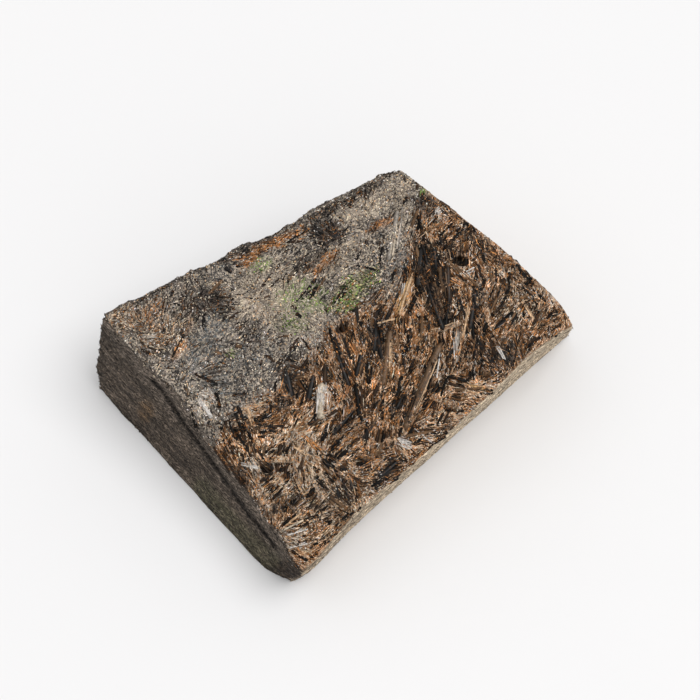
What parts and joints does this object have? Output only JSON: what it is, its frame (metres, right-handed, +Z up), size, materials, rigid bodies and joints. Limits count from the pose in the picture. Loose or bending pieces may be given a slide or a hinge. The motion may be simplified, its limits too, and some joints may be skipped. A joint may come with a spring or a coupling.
{
  "type": "nuummite slab",
  "caption": "Rough wedge-shaped slab of dark bladed stone: coarse sloping top, sawn sides, broken back, flat base.",
  "frame": {"origin": "middle of the slab's box, on the plane of its flat base", "axes": "+X along the long front side, +Y from the front to the broken back, +Z up out of the base"},
  "size_m": [0.1006, 0.0798, 0.038],
  "materials": {
    "stone": "rough interlocked blades of black, rust brown, gold and grey; sawn sides"
  },
  "bodies": {
    "root": {"nuummite_slab": "stone"}
  },
  "joints": []
}
